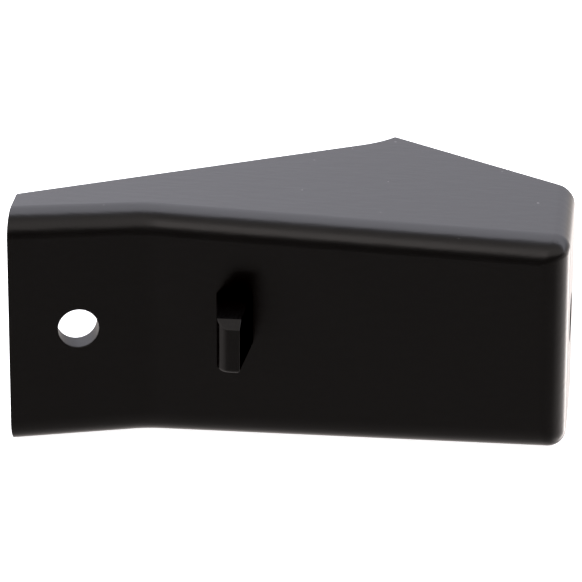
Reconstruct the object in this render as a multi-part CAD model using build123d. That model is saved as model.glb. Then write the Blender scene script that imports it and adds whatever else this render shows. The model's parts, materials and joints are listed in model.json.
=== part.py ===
from build123d import *
from math import cos, radians, sin, tan
import os

# Cleat horn, mm. The origin is the centre of the end hole on the outer face of the end wall.
# +X leaves the end wall, +Y points to the open back, and Z = 0 is the horn's mid-height plane.
# The end wall is parallel to Y and the lug points along -Y, because the mould opens along Y.

# Plan of the shell
LENGTH = 114.3
FLANGE_LENGTH = 27.4
MAIN_ANGLE = 3.0
FLANGE_ANGLE = 12.4
BEND_RADIUS = 20.0
HOLE_TO_FRONT = 16.4
HOLE_TO_RIM = 11.9
APEX_FROM_END = 38.9
BACK_FALL_ANGLE = 30.0
FLANGE_END_DEPTH = 11.6
FLANGE_END_ANGLE = 2.6
BACK_RISE_ANGLE = 27.4
BEAK_LENGTH = 6.2

# Section of the shell
END_HEIGHT = 47.2
WEB_SLOPE = 1.18
WALL = 4.8
EDGE_RADIUS = 5.2
END_EDGE_RADIUS = 3.5
INNER_RADIUS = 1.0
APEX_RADIUS = 0.4
FLANGE_RIM_RADIUS = 1.0

# Holes
FLANGE_HOLE_DIAMETER = 8.4
FLANGE_HOLE_FROM_END = 14.0
END_HOLE_DIAMETER = 10.3
FLANGE_HOLE_LIP_RADIUS = 0.25

# Lug on the main face
LUG_FROM_BEND = 18.6
LUG_REACH = 13.7
LUG_BURIED = 1.0
LUG_WIDTH = 7.5
LUG_TOP = 8.2
LUG_BOTTOM = -3.3
LUG_DRAFT = 5.9
LUG_TOP_CHAMFER = 1.7
LUG_FLANGE_SIDE_RADIUS = 2.8
LUG_HOLE_SIDE_RADIUS = 0.12
LUG_TOE_RADIUS = 0.9
LUG_FACET_RADIUS = 0.2

# Stiffening ribs across the cavity
RIB_THICKNESS = 2.6
RIBS_FROM_END = (34.0, 62.0)
RIB_SETBACK = 8.0

# Washer, lock nut and the nut's locking ring, behind the end wall
WASHER_DIAMETER = 20.6
WASHER_BORE = 10.3
WASHER_THICKNESS = 1.65
NUT_FLATS = 14.29
NUT_HEIGHT = 11.6
NUT_HEX_HEIGHT = 8.2
NUT_CROWN_DIAMETER = 13.2
NUT_BORE = 7.8
NUT_CORNER_DIAMETER = 15.9
NUT_CORNER_ANGLE = 30.0
RING_BORE = 8.9
RING_DIAMETER = 11.2
RING_HEIGHT = 2.2
CROWN_LIP = 0.6

# Keeper ribs above and below the nut's flats
KEEPER_THICKNESS = 2.4
KEEPER_CLEARANCE = 0.15
KEEPER_PAST_AXIS = 6.5
KEEPER_LENGTH = 8.6
WASHER_GAP = 0.2

# How far a cutting solid runs past the shell, and how close counts as on a face
OVERSHOOT = 30.0
TOLERANCE = 0.01


def rise(run, angle):
    """Distance gained sideways over a run at an angle in degrees."""
    return run * tan(radians(angle))


BEND_X = FLANGE_LENGTH - LENGTH
BEND_Y = -HOLE_TO_FRONT + rise(LENGTH - FLANGE_LENGTH, MAIN_ANGLE)
FLANGE_END_Y = BEND_Y - rise(FLANGE_LENGTH, FLANGE_ANGLE)
FLANGE_RIM_X = -LENGTH + rise(FLANGE_END_DEPTH, FLANGE_END_ANGLE)
FLANGE_RIM_Y = FLANGE_END_Y + FLANGE_END_DEPTH
APEX_Y = HOLE_TO_RIM + rise(APEX_FROM_END, BACK_FALL_ANGLE)
BEAK_X = -APEX_FROM_END - BEAK_LENGTH
BEAK_Y = FLANGE_RIM_Y + rise(BEAK_X - FLANGE_RIM_X, BACK_RISE_ANGLE)
LUG_X = BEND_X + LUG_FROM_BEND
LUG_FACE_Y = BEND_Y - rise(LUG_FROM_BEND, MAIN_ANGLE)
NUT_SEAT_X = -WALL - WASHER_THICKNESS


def main_face_y(x):
    """The main face's place at x."""
    return BEND_Y - rise(x - BEND_X, MAIN_ANGLE)


def flange_face_y(x):
    """The flange face's place at x."""
    return BEND_Y - rise(BEND_X - x, FLANGE_ANGLE)


def rim_y(x):
    """The back rim's place at x, either side of the apex."""
    if x < -APEX_FROM_END:
        return FLANGE_RIM_Y + rise(x - FLANGE_RIM_X, BACK_RISE_ANGLE)
    return HOLE_TO_RIM + rise(-x, BACK_FALL_ANGLE)


def half_height(x):
    """Half of the horn's height at x."""
    return END_HEIGHT / 2 - rise(x, WEB_SLOPE)


def near(value, target, reach=TOLERANCE):
    return abs(value - target) < reach


def wedge(inset, x_low, x_high):
    """The space between the two sloping web planes, brought in by an inset."""
    z_low = half_height(x_low) - inset
    z_high = half_height(x_high) - inset
    corners = [(x_low, z_low), (x_high, z_high), (x_high, -z_high), (x_low, -z_low)]
    profile = make_face(Plane.XZ * Polyline(*corners, close=True))
    return extrude(profile, amount=LENGTH, both=True)


def tall(outline):
    """A plan outline raised far enough for the wedge to trim it."""
    return extrude(make_face(outline), amount=END_HEIGHT, both=True)


def upright_edges(solid, x, y):
    """The edges along Z that stand on a plan point."""
    upright = solid.edges().filter_by(Axis.Z)
    return upright.filter_by(lambda edge: near(edge.center().X, x) and near(edge.center().Y, y))


def outer_block():
    """The horn as if it were solid, with its outside edges rounded."""
    flange_end = (-LENGTH, FLANGE_END_Y)
    flange_rim = (FLANGE_RIM_X, FLANGE_RIM_Y)
    apex = (-APEX_FROM_END, APEX_Y)
    beak = (BEAK_X, BEAK_Y)
    back_direction = (cos(radians(BACK_RISE_ANGLE)), sin(radians(BACK_RISE_ANGLE)))
    front = Polyline(flange_end, (BEND_X, BEND_Y), (0, -HOLE_TO_FRONT), (0, HOLE_TO_RIM), apex)
    back = Polyline(beak, flange_rim, flange_end)
    block = tall(front + TangentArc(beak, apex, tangent=back_direction) + back)
    block = fillet(upright_edges(block, BEND_X, BEND_Y), BEND_RADIUS)
    block = fillet(upright_edges(block, *apex), APEX_RADIUS)
    block = fillet(upright_edges(block, *flange_rim), FLANGE_RIM_RADIUS)
    block &= wedge(0.0, -LENGTH - OVERSHOOT, OVERSHOOT)
    block = fillet(block.edges().filter_by(is_front_edge), EDGE_RADIUS)
    return fillet(block.edges().filter_by(is_end_web_edge), END_EDGE_RADIUS)


def is_front_edge(edge):
    """True on the edges round the front wall, except at the flange's cut end."""
    middle = edge.position_at(0.5)
    bend_reach = BEND_RADIUS * (1 / cos(radians((MAIN_ANGLE + FLANGE_ANGLE) / 2)) - 1) + TOLERANCE
    face_y = main_face_y(middle.X) if middle.X > BEND_X else flange_face_y(middle.X)
    on_front = near(middle.Y, face_y, bend_reach)
    on_web = near(abs(middle.Z), half_height(middle.X))
    return on_front and (on_web or near(middle.X, 0))


def is_end_web_edge(edge):
    """True on the two edges between the end wall and the webs."""
    middle = edge.position_at(0.5)
    return near(middle.X, 0) and near(abs(middle.Z), END_HEIGHT / 2)


def cavity():
    """The space inside the shell, open at the back and at the flange's cut end."""
    half_turn = radians((MAIN_ANGLE + FLANGE_ANGLE) / 2)
    lean = radians((FLANGE_ANGLE - MAIN_ANGLE) / 2)
    shift = WALL / cos(half_turn)
    bend = (BEND_X - shift * sin(lean), BEND_Y + shift * cos(lean))
    low_x = -LENGTH - OVERSHOOT
    far_y = APEX_Y + OVERSHOOT
    low = (low_x, bend[1] - rise(bend[0] - low_x, FLANGE_ANGLE))
    high = (-WALL, bend[1] - rise(-WALL - bend[0], MAIN_ANGLE))
    outline = Polyline(low, bend, high, (-WALL, far_y), (low_x, far_y), close=True)
    space = fillet(upright_edges(tall(outline), *bend), BEND_RADIUS + WALL)
    space &= wedge(WALL, low_x - OVERSHOOT, OVERSHOOT)
    walls = space.edges().filter_by(lambda edge: is_inside_corner(edge, low_x, bend[1], far_y))
    return fillet(walls, INNER_RADIUS)


def is_inside_corner(edge, low_x, front_y, far_y):
    """True on the cavity's edges where two walls of the shell meet."""
    middle = edge.position_at(0.5)
    at_open_side = near(middle.X, low_x) or near(middle.Y, far_y)
    at_front = middle.Y < front_y + TOLERANCE
    return (near(middle.X, -WALL) or at_front) and not at_open_side


def stiffening_rib(from_end):
    """One rib across the cavity, from inside the front wall to short of the back rim."""
    x = -from_end
    root_y = main_face_y(x) + WALL / 2
    depth = rim_y(x) - RIB_SETBACK - root_y
    height = 2 * half_height(x) - WALL
    return Pos(x, root_y + depth / 2, 0) * Box(RIB_THICKNESS, depth, height)


def keeper_rib(side):
    """One of the two ribs that stop the nut turning; side is +1 above it and -1 below."""
    root_y = -HOLE_TO_FRONT + WALL / 2
    depth = KEEPER_PAST_AXIS - root_y
    x = NUT_SEAT_X - WASHER_GAP - KEEPER_LENGTH / 2
    z = side * (NUT_FLATS / 2 + KEEPER_CLEARANCE + KEEPER_THICKNESS / 2)
    return Pos(x, root_y + depth / 2, z) * Box(KEEPER_LENGTH, depth, KEEPER_THICKNESS)


def lug():
    """The lug, tapered in plan, with its root buried in the front wall and its nose rounded."""
    root_y = LUG_FACE_Y + LUG_BURIED
    root_half = LUG_WIDTH / 2 + rise(LUG_BURIED, LUG_DRAFT)
    nose_half = LUG_WIDTH / 2 - rise(LUG_REACH, LUG_DRAFT)
    root = [(LUG_X - root_half, root_y), (LUG_X + root_half, root_y)]
    nose = [(LUG_X + nose_half, LUG_FACE_Y - LUG_REACH), (LUG_X - nose_half, LUG_FACE_Y - LUG_REACH)]
    plan = make_face(Polyline(*root, *nose, close=True))
    body = Pos(0, 0, LUG_BOTTOM) * extrude(plan, amount=LUG_TOP - LUG_BOTTOM)
    body = chamfer(nose_edges(body, Axis.X, Axis.Z)[-1], LUG_TOP_CHAMFER)
    body = fillet(nose_edges(body, Axis.Z, Axis.X)[0], LUG_FLANGE_SIDE_RADIUS)
    body = fillet(nose_edges(body, Axis.Z, Axis.X)[-1], LUG_HOLE_SIDE_RADIUS)
    body = fillet(nose_edges(body, Axis.X, Axis.Z)[-1], LUG_FACET_RADIUS)
    return fillet(nose_edges(body, Axis.X, Axis.Z)[0], LUG_TOE_RADIUS)


def nose_edges(body, along, order):
    """The straight edges round the lug's nose that run along one axis, in order of another."""
    edges = body.edges().filter_by(along).sort_by(order)
    return edges.filter_by(lambda edge: near(edge.center().Y, LUG_FACE_Y - LUG_REACH))


def wall_drill(mouth, angle, diameter):
    """A drill through one wall; its axis turns from -Y towards +X by an angle."""
    plane = Plane(origin=mouth, z_dir=(sin(radians(angle)), -cos(radians(angle)), 0))
    return extrude(plane * Circle(diameter / 2), amount=2 * WALL, both=True)


def mouth_edges(shell, mouth):
    """The outer edge of a hole, by its centre."""
    circles = shell.edges().filter_by(GeomType.CIRCLE)
    return circles.filter_by(lambda edge: (edge.arc_center - Vector(mouth)).length < TOLERANCE)


def horn_shell():
    """The moulding: front wall, webs, end wall, ribs, lug and two holes."""
    shell = outer_block() - cavity()
    for from_end in RIBS_FROM_END:
        shell += stiffening_rib(from_end)
    for side in (1, -1):
        shell += keeper_rib(side)
    shell += lug()
    flange_hole_x = FLANGE_HOLE_FROM_END - LENGTH
    flange_mouth = (flange_hole_x, flange_face_y(flange_hole_x), 0)
    shell -= wall_drill(flange_mouth, FLANGE_ANGLE, FLANGE_HOLE_DIAMETER)
    shell -= wall_drill((0, 0, 0), 90, END_HOLE_DIAMETER)
    return fillet(mouth_edges(shell, flange_mouth), FLANGE_HOLE_LIP_RADIUS)


def inward_plane(x):
    """A plane at x that faces into the horn, with its own x axis along +Y."""
    return Plane(origin=(x, 0, 0), x_dir=(0, 1, 0), z_dir=(-1, 0, 0))


def disc(x, diameter, thickness):
    """A round disc on the end hole's axis, from x inwards."""
    return extrude(inward_plane(x) * Circle(diameter / 2), amount=thickness)


def load_washer():
    """Flat washer against the inside of the end wall."""
    return disc(-WALL, WASHER_DIAMETER, WASHER_THICKNESS) - disc(-WALL, WASHER_BORE, WASHER_THICKNESS)


def lock_nut():
    """Hex nut with a round crown that holds the locking ring; two of its flats face the keeper ribs."""
    hexagon = RegularPolygon(NUT_FLATS / 2, 6, major_radius=False)
    body = extrude(inward_plane(NUT_SEAT_X) * hexagon, amount=NUT_HEX_HEIGHT)
    cone_height = NUT_HEX_HEIGHT + NUT_CORNER_DIAMETER / 2 / tan(radians(90 - NUT_CORNER_ANGLE))
    round_blank = extrude(
        inward_plane(NUT_SEAT_X - NUT_HEX_HEIGHT) * Circle(NUT_CROWN_DIAMETER / 2),
        amount=-cone_height,
        taper=-(90 - NUT_CORNER_ANGLE),
    )
    body &= round_blank
    body += disc(NUT_SEAT_X - NUT_HEX_HEIGHT, NUT_CROWN_DIAMETER, NUT_HEIGHT - NUT_HEX_HEIGHT)
    ring_x = NUT_SEAT_X - NUT_HEIGHT + CROWN_LIP + RING_HEIGHT
    body -= disc(NUT_SEAT_X, NUT_BORE, NUT_HEIGHT)
    body -= disc(ring_x, RING_DIAMETER, RING_HEIGHT)
    return body - disc(ring_x, RING_BORE + 2 * CROWN_LIP, RING_HEIGHT + CROWN_LIP)


def nut_locking_ring():
    """The nylon ring in the nut's crown."""
    ring_x = NUT_SEAT_X - NUT_HEIGHT + CROWN_LIP + RING_HEIGHT
    return disc(ring_x, RING_DIAMETER, RING_HEIGHT) - disc(ring_x, RING_BORE, RING_HEIGHT)


PARTS = {
    "horn_shell": horn_shell,
    "load_washer": load_washer,
    "lock_nut": lock_nut,
    "nut_locking_ring": nut_locking_ring,
}

os.makedirs("parts", exist_ok=True)
for name, make in PARTS.items():
    export_step(make(), f"parts/{name}.step")
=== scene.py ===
import bpy
import json
from math import cos, pi, radians, sin
from mathutils import Matrix, Vector


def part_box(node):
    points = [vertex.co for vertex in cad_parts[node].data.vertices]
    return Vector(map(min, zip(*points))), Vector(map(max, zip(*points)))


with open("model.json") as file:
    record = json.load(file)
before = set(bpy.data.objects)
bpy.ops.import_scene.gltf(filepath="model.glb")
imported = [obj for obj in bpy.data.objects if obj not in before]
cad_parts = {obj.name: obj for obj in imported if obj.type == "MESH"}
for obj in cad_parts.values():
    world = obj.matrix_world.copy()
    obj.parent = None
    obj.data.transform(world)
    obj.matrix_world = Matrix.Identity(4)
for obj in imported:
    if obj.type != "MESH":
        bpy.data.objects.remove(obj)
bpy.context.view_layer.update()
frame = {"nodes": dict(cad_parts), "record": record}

MM_PER_METRE = 1000
HALF_TURN = 180
FULL_TURN = 360
WHITE = (1, 1, 1, 1)

# Camera, metres and degrees. Azimuth 0 looks along +Y.
CAMERA_AZIMUTH = 4.9
CAMERA_ELEVATION = 25.0
CAMERA_ROLL = 0.12
CAMERA_DISTANCE = 1.0678
CAMERA_LENS = 321.6
CAMERA_SENSOR = 36.0
CAMERA_TARGET = Vector((-0.05578, -0.00947, 0.0))
AIM_RIGHT = -0.001257
AIM_UP = 0.007219
CLIP_NEAR = 0.1
CLIP_FAR = 50.0

# Floor: its slope is that of the horn's underside
FLOOR_SIDE = 12.0
FLOOR_SLOPE = 1.18
FLOOR_GAP = 0.0001
FLOOR_GREY = 0.9
FLOOR_ROUGHNESS = 0.9
FLOOR_SPECULAR = 0.0
FLOOR_GLOW = 0.95

# Studio light by direction, with listed levels. Turn 0 is the front horizon, 90 is overhead,
# 180 is the back horizon and -90 is straight down. Each pair gives the turn and the brightness there.
# RIGHT_LIGHT takes over from MIDDLE_LIGHT as the direction's x goes from RIGHT_FROM to RIGHT_FULL.
MIDDLE_LIGHT = [
    (-180, 1.20), (-170, 1.35), (-158, 1.90), (-148, 1.15), (-110, 0.60), (-80, 0.41), (-50, 0.37),
    (-25, 0.35), (-12, 0.22), (0, 0.21), (10, 0.24), (18, 0.50), (26, 1.42), (42, 1.46), (55, 0.80),
    (65, 0.60), (80, 0.64), (88, 1.02), (93, 2.20), (99, 2.72), (115, 2.78), (135, 2.22), (155, 1.80),
    (180, 1.25),
]
RIGHT_LIGHT = [
    (-180, 1.00), (-170, 1.25), (-158, 1.90), (-148, 1.15), (-110, 0.60), (-80, 0.41), (-50, 0.36),
    (-25, 0.33), (-12, 0.22), (0, 0.21), (10, 0.24), (18, 0.50), (26, 0.88), (42, 0.92), (58, 0.82),
    (68, 0.69), (80, 0.70), (88, 1.08), (93, 2.30), (99, 2.80), (115, 2.70), (135, 2.00), (155, 1.36),
    (180, 1.05),
]
BRIGHTEST = 3.5
RIGHT_FROM = -0.16
RIGHT_FULL = 0.0

# Light from low at the two sides, by azimuth: 0 is the front, 90 the right and -90 the left. It comes
# in as the direction's x, either way, goes from SIDE_FROM to SIDE_FULL, and as its z goes down from
# SIDE_TOP to SIDE_BRIGHT_BELOW.
SIDE_LIGHT = [
    (-180, 0.0), (-100, 0.0), (-66, 0.32), (-39, 0.14), (-25, 0.05), (-15, 0.0), (46, 0.0), (56, 0.06),
    (66, 0.21), (78, 0.39), (90, 0.57), (97, 0.80), (105, 0.98), (113, 0.95), (122, 1.75), (133, 4.20),
    (148, 8.00), (158, 5.00), (170, 0.0), (180, 0.0),
]
SIDE_BRIGHTEST = 9.0
SIDE_FROM = 0.35
SIDE_FULL = 0.6
SIDE_TOP = -0.2
SIDE_BRIGHT_BELOW = -0.38
BACKDROP = 1.0
RAMP_MIDDLE = 0.5

# The light's tint at each turn, and the film's black point
WARM = (1.06, 0.985, 0.955)
COOL = (0.975, 0.965, 1.06)
TINT_TURNS = [(-180, WARM), (70, WARM), (92, COOL), (165, COOL), (180, WARM)]
BLACK_POINT = 0.006

# Materials: lengths in metres. Most of a noise's values lie in NOISE_SPAN.
NOISE_SPAN = (0.3, 0.7)
NOISE_DETAIL = 2.0
BLACK = (0.0005, 0.0005, 0.00055)
BLACK_WORN = (0.0010, 0.0010, 0.0010)
PLASTIC_ROUGHNESS = (0.20, 0.25)
PLASTIC_IOR = 1.5
BORE_ROUGHNESS = 0.5
BORE_SKIN = 0.0001
GRAIN = 0.00025
GRAIN_DEPTH = 0.000004
CLOUD = 0.012
STREAK = 0.0014
STREAK_STRETCH = 0.3
STREAK_DEPTH = 0.00003
DUST = (0.08, 0.08, 0.08)
DUST_SPACING = 0.004
DUST_RADIUS = 0.0003
DUST_SHARE = 0.35
DUST_FACING = 0.7
STEEL = (0.55, 0.55, 0.56)
STEEL_BRIGHT = (0.66, 0.66, 0.67)
STEEL_ROUGHNESS = (0.22, 0.38)
TOOL_MARK = 0.00022
TOOL_MARK_DEPTH = 0.000006
DRAWN_MARK = 0.0003
DRAWN_STRETCH = 0.04
NYLON = (0.045, 0.18, 0.42)
NYLON_PALE = (0.06, 0.22, 0.48)
NYLON_ROUGHNESS = (0.38, 0.5)
NYLON_GRAIN = 0.0002
NYLON_DEPTH = 0.000008


def link_value(links, value, socket):
    """Sets a socket from a number, a colour or another node's output."""
    if isinstance(value, bpy.types.NodeSocket):
        links.new(value, socket)
    else:
        socket.default_value = value


def add_math(tree, operation, *values):
    """A maths node's output."""
    node = tree.nodes.new("ShaderNodeMath")
    node.operation = operation
    for place, value in enumerate(values):
        link_value(tree.links, value, node.inputs[place])
    return node.outputs[0]


def add_vector_math(tree, operation, *values):
    """A vector maths node's output."""
    node = tree.nodes.new("ShaderNodeVectorMath")
    node.operation = operation
    for place, value in enumerate(values):
        link_value(tree.links, value, node.inputs[place])
    return node.outputs["Value" if operation == "LENGTH" else "Vector"]


def add_range(tree, value, low, high, new_low=0.0, new_high=1.0, shape="LINEAR"):
    """A value moved from one range to another."""
    node = tree.nodes.new("ShaderNodeMapRange")
    node.interpolation_type = shape
    sockets = ("Value", "From Min", "From Max", "To Min", "To Max")
    for name, setting in zip(sockets, (value, low, high, new_low, new_high)):
        link_value(tree.links, setting, node.inputs[name])
    return node.outputs[0]


def add_colour_ramp(tree, share, stops):
    """The colour at each angle of the whole circle."""
    node = tree.nodes.new("ShaderNodeValToRGB")
    elements = node.color_ramp.elements
    while len(elements) < len(stops):
        elements.new(RAMP_MIDDLE)
    for element, (angle, colour) in zip(elements, stops):
        element.position = (angle + HALF_TURN) / FULL_TURN
        element.color = (*colour, 1)
    tree.links.new(share, node.inputs[0])
    return node.outputs["Color"]


def add_level_ramp(tree, share, stops, brightest):
    """The brightness at each angle of the whole circle; the ramp holds shares of the brightest."""
    greys = [(angle, (level / brightest,) * 3) for angle, level in stops]
    return add_math(tree, "MULTIPLY", add_colour_ramp(tree, share, greys), brightest)


def add_mix(tree, share, low, high):
    """A number between two others."""
    node = tree.nodes.new("ShaderNodeMix")
    for name, value in (("Factor", share), ("A", low), ("B", high)):
        link_value(tree.links, value, node.inputs[name])
    return node.outputs["Result"]


def share_of_turn(tree, rise, run):
    """The angle of (run, rise) as a share of the whole circle."""
    return add_range(tree, add_math(tree, "ARCTAN2", rise, run), -pi, pi)


def make_world():
    """Studio light that depends on direction only; the camera itself sees a white backdrop."""
    world = bpy.data.worlds.new("studio")
    bpy.context.scene.world = world
    world.use_nodes = True
    tree = world.node_tree
    tree.nodes.clear()
    place = tree.nodes.new("ShaderNodeTexCoord")
    parts = tree.nodes.new("ShaderNodeSeparateXYZ")
    tree.links.new(place.outputs["Generated"], parts.inputs[0])
    x, y, z = parts.outputs
    forward = add_math(tree, "MULTIPLY", y, -1.0)
    turn = share_of_turn(tree, z, forward)
    middle = add_level_ramp(tree, turn, MIDDLE_LIGHT, BRIGHTEST)
    right = add_level_ramp(tree, turn, RIGHT_LIGHT, BRIGHTEST)
    across = add_range(tree, x, RIGHT_FROM, RIGHT_FULL, shape="SMOOTHSTEP")
    band = add_mix(tree, across, middle, right)
    side = add_level_ramp(tree, share_of_turn(tree, x, forward), SIDE_LIGHT, SIDE_BRIGHTEST)
    aside = add_range(tree, add_math(tree, "ABSOLUTE", x), SIDE_FROM, SIDE_FULL, shape="SMOOTHSTEP")
    below = add_range(tree, z, SIDE_TOP, SIDE_BRIGHT_BELOW, shape="SMOOTHSTEP")
    level = add_math(tree, "MULTIPLY_ADD", side, add_math(tree, "MULTIPLY", aside, below), band)
    seen = tree.nodes.new("ShaderNodeLightPath")
    light = tree.nodes.new("ShaderNodeBackground")
    shown = add_mix(tree, seen.outputs["Is Camera Ray"], level, BACKDROP)
    tree.links.new(shown, light.inputs["Strength"])
    tree.links.new(add_colour_ramp(tree, turn, TINT_TURNS), light.inputs["Color"])
    out = tree.nodes.new("ShaderNodeOutputWorld")
    tree.links.new(light.outputs[0], out.inputs["Surface"])


def make_camera():
    """The camera at the photograph's viewing angle."""
    azimuth, elevation = radians(CAMERA_AZIMUTH), radians(CAMERA_ELEVATION)
    back = Vector((sin(azimuth) * cos(elevation), -cos(azimuth) * cos(elevation), sin(elevation)))
    right = Vector((cos(azimuth), sin(azimuth), 0))
    up = back.cross(right)
    place = CAMERA_TARGET + back * CAMERA_DISTANCE
    aim = CAMERA_TARGET + right * AIM_RIGHT + up * AIM_UP
    data = bpy.data.cameras.new("camera")
    data.lens = CAMERA_LENS
    data.sensor_width = CAMERA_SENSOR
    data.clip_start = CLIP_NEAR
    data.clip_end = CLIP_FAR
    camera = bpy.data.objects.new("camera", data)
    bpy.context.scene.collection.objects.link(camera)
    turn = (aim - place).to_track_quat("-Z", "Y").to_matrix().to_4x4()
    camera.matrix_world = Matrix.Translation(place) @ turn @ Matrix.Rotation(radians(CAMERA_ROLL), 4, "Z")
    bpy.context.scene.camera = camera


def make_floor():
    """A pale, self-lit floor just under the horn's underside. Gloss sees the world in its place."""
    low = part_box("horn_shell")[0]
    mesh = bpy.data.meshes.new("floor")
    half = FLOOR_SIDE / 2
    corners = [(-half, -half, 0), (half, -half, 0), (half, half, 0), (-half, half, 0)]
    mesh.from_pydata(corners, [], [(0, 1, 2, 3)])
    floor = bpy.data.objects.new("floor", mesh)
    bpy.context.scene.collection.objects.link(floor)
    floor.rotation_euler = (0, -radians(FLOOR_SLOPE), 0)
    floor.location = (low[0], 0, low[2] - FLOOR_GAP)
    floor.visible_glossy = False
    material, shader, _ = new_material("floor")
    settings = {
        "Base Color": (FLOOR_GREY,) * 3 + (1,),
        "Roughness": FLOOR_ROUGHNESS,
        "Specular IOR Level": FLOOR_SPECULAR,
        "Emission Color": WHITE,
        "Emission Strength": FLOOR_GLOW,
    }
    for name, value in settings.items():
        shader.inputs[name].default_value = value
    mesh.materials.append(material)


def new_material(name):
    """A new material, its shader and its node tree."""
    material = bpy.data.materials.new(name)
    material.use_nodes = True
    tree = material.node_tree
    return material, tree.nodes["Principled BSDF"], tree


def object_place(tree, stretch=(1, 1, 1)):
    """A point of the object, in metres, scaled along each axis."""
    place = tree.nodes.new("ShaderNodeTexCoord")
    return add_vector_math(tree, "MULTIPLY", place.outputs["Object"], stretch)


def add_noise(tree, place, size):
    """Noise whose features are about size metres wide."""
    node = tree.nodes.new("ShaderNodeTexNoise")
    tree.links.new(place, node.inputs["Vector"])
    node.inputs["Scale"].default_value = 1 / size
    node.inputs["Detail"].default_value = NOISE_DETAIL
    return node.outputs["Fac"]


def add_colour(tree, share, low, high):
    """A colour between two others; each is three numbers or another node's output."""
    node = tree.nodes.new("ShaderNodeMix")
    node.data_type = "RGBA"
    tree.links.new(share, node.inputs["Factor"])
    sockets = [socket for socket in node.inputs if socket.type == "RGBA"]
    for colour, socket in zip((low, high), sockets):
        link_value(tree.links, (*colour, 1) if isinstance(colour, tuple) else colour, socket)
    return [socket for socket in node.outputs if socket.type == "RGBA"][0]


def add_bump(tree, height, depth, under=None):
    """A bump of the given depth in metres, over another bump if there is one."""
    node = tree.nodes.new("ShaderNodeBump")
    node.inputs["Distance"].default_value = depth
    tree.links.new(height, node.inputs["Height"])
    if under:
        tree.links.new(under, node.inputs["Normal"])
    return node.outputs[0]


def add_dust(tree):
    """One on sparse fine specks on the faces that look up, and zero elsewhere."""
    normal = tree.nodes.new("ShaderNodeSeparateXYZ")
    tree.links.new(tree.nodes.new("ShaderNodeTexCoord").outputs["Normal"], normal.inputs[0])
    upward = add_math(tree, "GREATER_THAN", normal.outputs["Z"], DUST_FACING)
    node = tree.nodes.new("ShaderNodeTexVoronoi")
    tree.links.new(object_place(tree), node.inputs["Vector"])
    node.inputs["Scale"].default_value = 1 / DUST_SPACING
    chance = tree.nodes.new("ShaderNodeSeparateColor")
    tree.links.new(node.outputs["Color"], chance.inputs[0])
    kept = add_math(tree, "LESS_THAN", chance.outputs[0], DUST_SHARE)
    radius = add_math(tree, "MULTIPLY", chance.outputs[1], DUST_RADIUS / DUST_SPACING)
    inside = add_math(tree, "LESS_THAN", node.outputs["Distance"], radius)
    return add_math(tree, "MULTIPLY", upward, add_math(tree, "MULTIPLY", kept, inside))


def on_bore_wall(tree, name):
    """One close to a bore mount's axis, so on its wall, and zero elsewhere."""
    mount = next(mount for mount in frame["record"]["mounts"] if mount["name"] == name)
    offset = add_vector_math(tree, "SUBTRACT", object_place(tree), mount["pos_m"])
    across = add_vector_math(tree, "CROSS_PRODUCT", offset, mount["axis"])
    distance = add_vector_math(tree, "LENGTH", across)
    return add_math(tree, "LESS_THAN", distance, mount["dims"]["r_mm"] / MM_PER_METRE + BORE_SKIN)


def black_plastic():
    """Satin black plastic with grain, flow streaks, a few specks and a rougher flange hole wall."""
    material, shader, tree = new_material("black_plastic")
    cloud = add_noise(tree, object_place(tree), CLOUD)
    satin = add_range(tree, cloud, *NOISE_SPAN, *PLASTIC_ROUGHNESS)
    roughness = add_mix(tree, on_bore_wall(tree, "flange_hole"), satin, BORE_ROUGHNESS)
    tree.links.new(roughness, shader.inputs["Roughness"])
    colour = add_colour(tree, cloud, BLACK, BLACK_WORN)
    tree.links.new(add_colour(tree, add_dust(tree), colour, DUST), shader.inputs["Base Color"])
    shader.inputs["IOR"].default_value = PLASTIC_IOR
    streak = add_noise(tree, object_place(tree, (STREAK_STRETCH, 1, 1)), STREAK)
    grain = add_noise(tree, object_place(tree), GRAIN)
    streaks = add_bump(tree, streak, STREAK_DEPTH)
    tree.links.new(add_bump(tree, grain, GRAIN_DEPTH, streaks), shader.inputs["Normal"])
    return material


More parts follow.
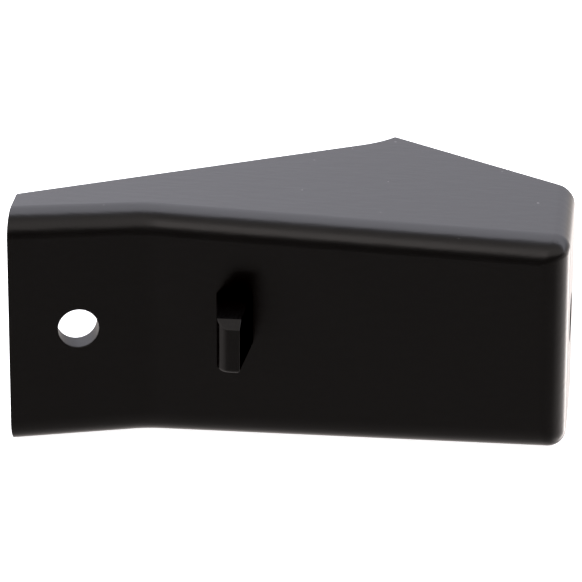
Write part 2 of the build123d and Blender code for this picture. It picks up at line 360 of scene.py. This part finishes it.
def turned_marks(tree):
    """Noise in rings round the X axis, as a lathe leaves it."""
    radius = add_vector_math(tree, "LENGTH", object_place(tree, (0, 1, 1)))
    node = tree.nodes.new("ShaderNodeTexNoise")
    node.noise_dimensions = "1D"
    tree.links.new(radius, node.inputs["W"])
    node.inputs["Scale"].default_value = 1 / TOOL_MARK
    return node.outputs["Fac"]


def drawn_marks(tree):
    """Fine lines along X, as drawn bar has."""
    return add_noise(tree, object_place(tree, (DRAWN_STRETCH, 1, 1)), DRAWN_MARK)


def stainless(name, make_marks):
    """Machined steel with its tool marks."""
    material, shader, tree = new_material(name)
    marks = make_marks(tree)
    shader.inputs["Metallic"].default_value = 1.0
    tree.links.new(add_colour(tree, marks, STEEL, STEEL_BRIGHT), shader.inputs["Base Color"])
    tree.links.new(add_range(tree, marks, *NOISE_SPAN, *STEEL_ROUGHNESS), shader.inputs["Roughness"])
    tree.links.new(add_bump(tree, marks, TOOL_MARK_DEPTH), shader.inputs["Normal"])
    return material


def nylon():
    """Blue nylon, matt and slightly mottled."""
    material, shader, tree = new_material("nylon")
    mottle = add_noise(tree, object_place(tree), NYLON_GRAIN)
    tree.links.new(add_colour(tree, mottle, NYLON, NYLON_PALE), shader.inputs["Base Color"])
    tree.links.new(add_range(tree, mottle, *NOISE_SPAN, *NYLON_ROUGHNESS), shader.inputs["Roughness"])
    tree.links.new(add_bump(tree, mottle, NYLON_DEPTH), shader.inputs["Normal"])
    return material


def dress(node, material):
    """Gives a CAD node its material."""
    mesh = frame["nodes"][node].data
    mesh.materials.clear()
    mesh.materials.append(material)


def set_film():
    """Plain colour with a raised black point."""
    view = bpy.context.scene.view_settings
    view.view_transform = "Standard"
    view.use_curve_mapping = True
    view.curve_mapping.black_level = (BLACK_POINT,) * 3
    view.curve_mapping.update()


set_film()
make_camera()
make_world()
make_floor()
dress("horn_shell", black_plastic())
dress("load_washer", stainless("turned_steel", turned_marks))
dress("lock_nut", stainless("drawn_steel", drawn_marks))
dress("nut_locking_ring", nylon())
